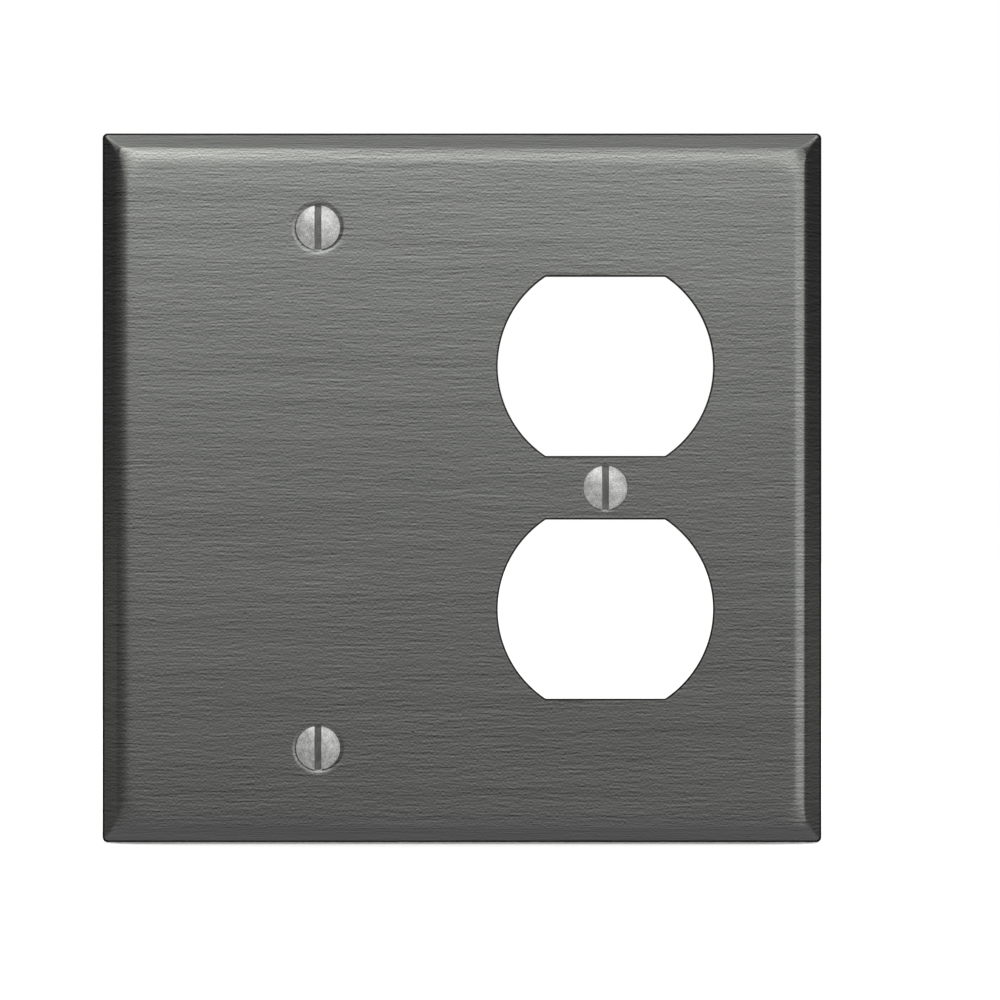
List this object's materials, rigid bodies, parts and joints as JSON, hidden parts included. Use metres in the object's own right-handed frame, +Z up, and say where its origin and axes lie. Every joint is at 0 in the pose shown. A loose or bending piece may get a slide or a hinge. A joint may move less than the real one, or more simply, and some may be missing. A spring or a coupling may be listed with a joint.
{
  "type": "wall plate",
  "caption": "Bevelled wall plate in brushed stainless steel, blank on the left and cut for a duplex receptacle on the right, held by slotted oval-head screws.",
  "frame": {"origin": "middle of the rim's flat back, on the wall surface", "axes": "upright as it hangs: +Z up, +X to the right seen from the front, +Y into the wall, so the front faces -Y"},
  "size_m": [0.116, 0.0094, 0.1142],
  "materials": {
    "brushed_stainless": "fine horizontal brushing",
    "screw_steel": "satin, slightly grainy"
  },
  "bodies": {
    "plate": {"wall_plate": "brushed_stainless"},
    "box_screw_top": {"box_screw_top": "screw_steel"},
    "box_screw_bottom": {"box_screw_bottom": "screw_steel"},
    "receptacle_screw": {"receptacle_screw": "screw_steel"}
  },
  "joints": [
    {"name": "box_screw_top_turn", "type": "hinge", "parent": "plate", "child": "box_screw_top", "pos_m": [-0.02301, -0.0054, 0.04167], "axis": [0, -1, 0], "continuous": true},
    {"name": "box_screw_bottom_turn", "type": "hinge", "parent": "plate", "child": "box_screw_bottom", "pos_m": [-0.02301, -0.0054, -0.04167], "axis": [0, -1, 0], "continuous": true},
    {"name": "receptacle_screw_turn", "type": "hinge", "parent": "plate", "child": "receptacle_screw", "pos_m": [0.02301, -0.00569, 0], "axis": [0, -1, 0], "continuous": true}
  ]
}
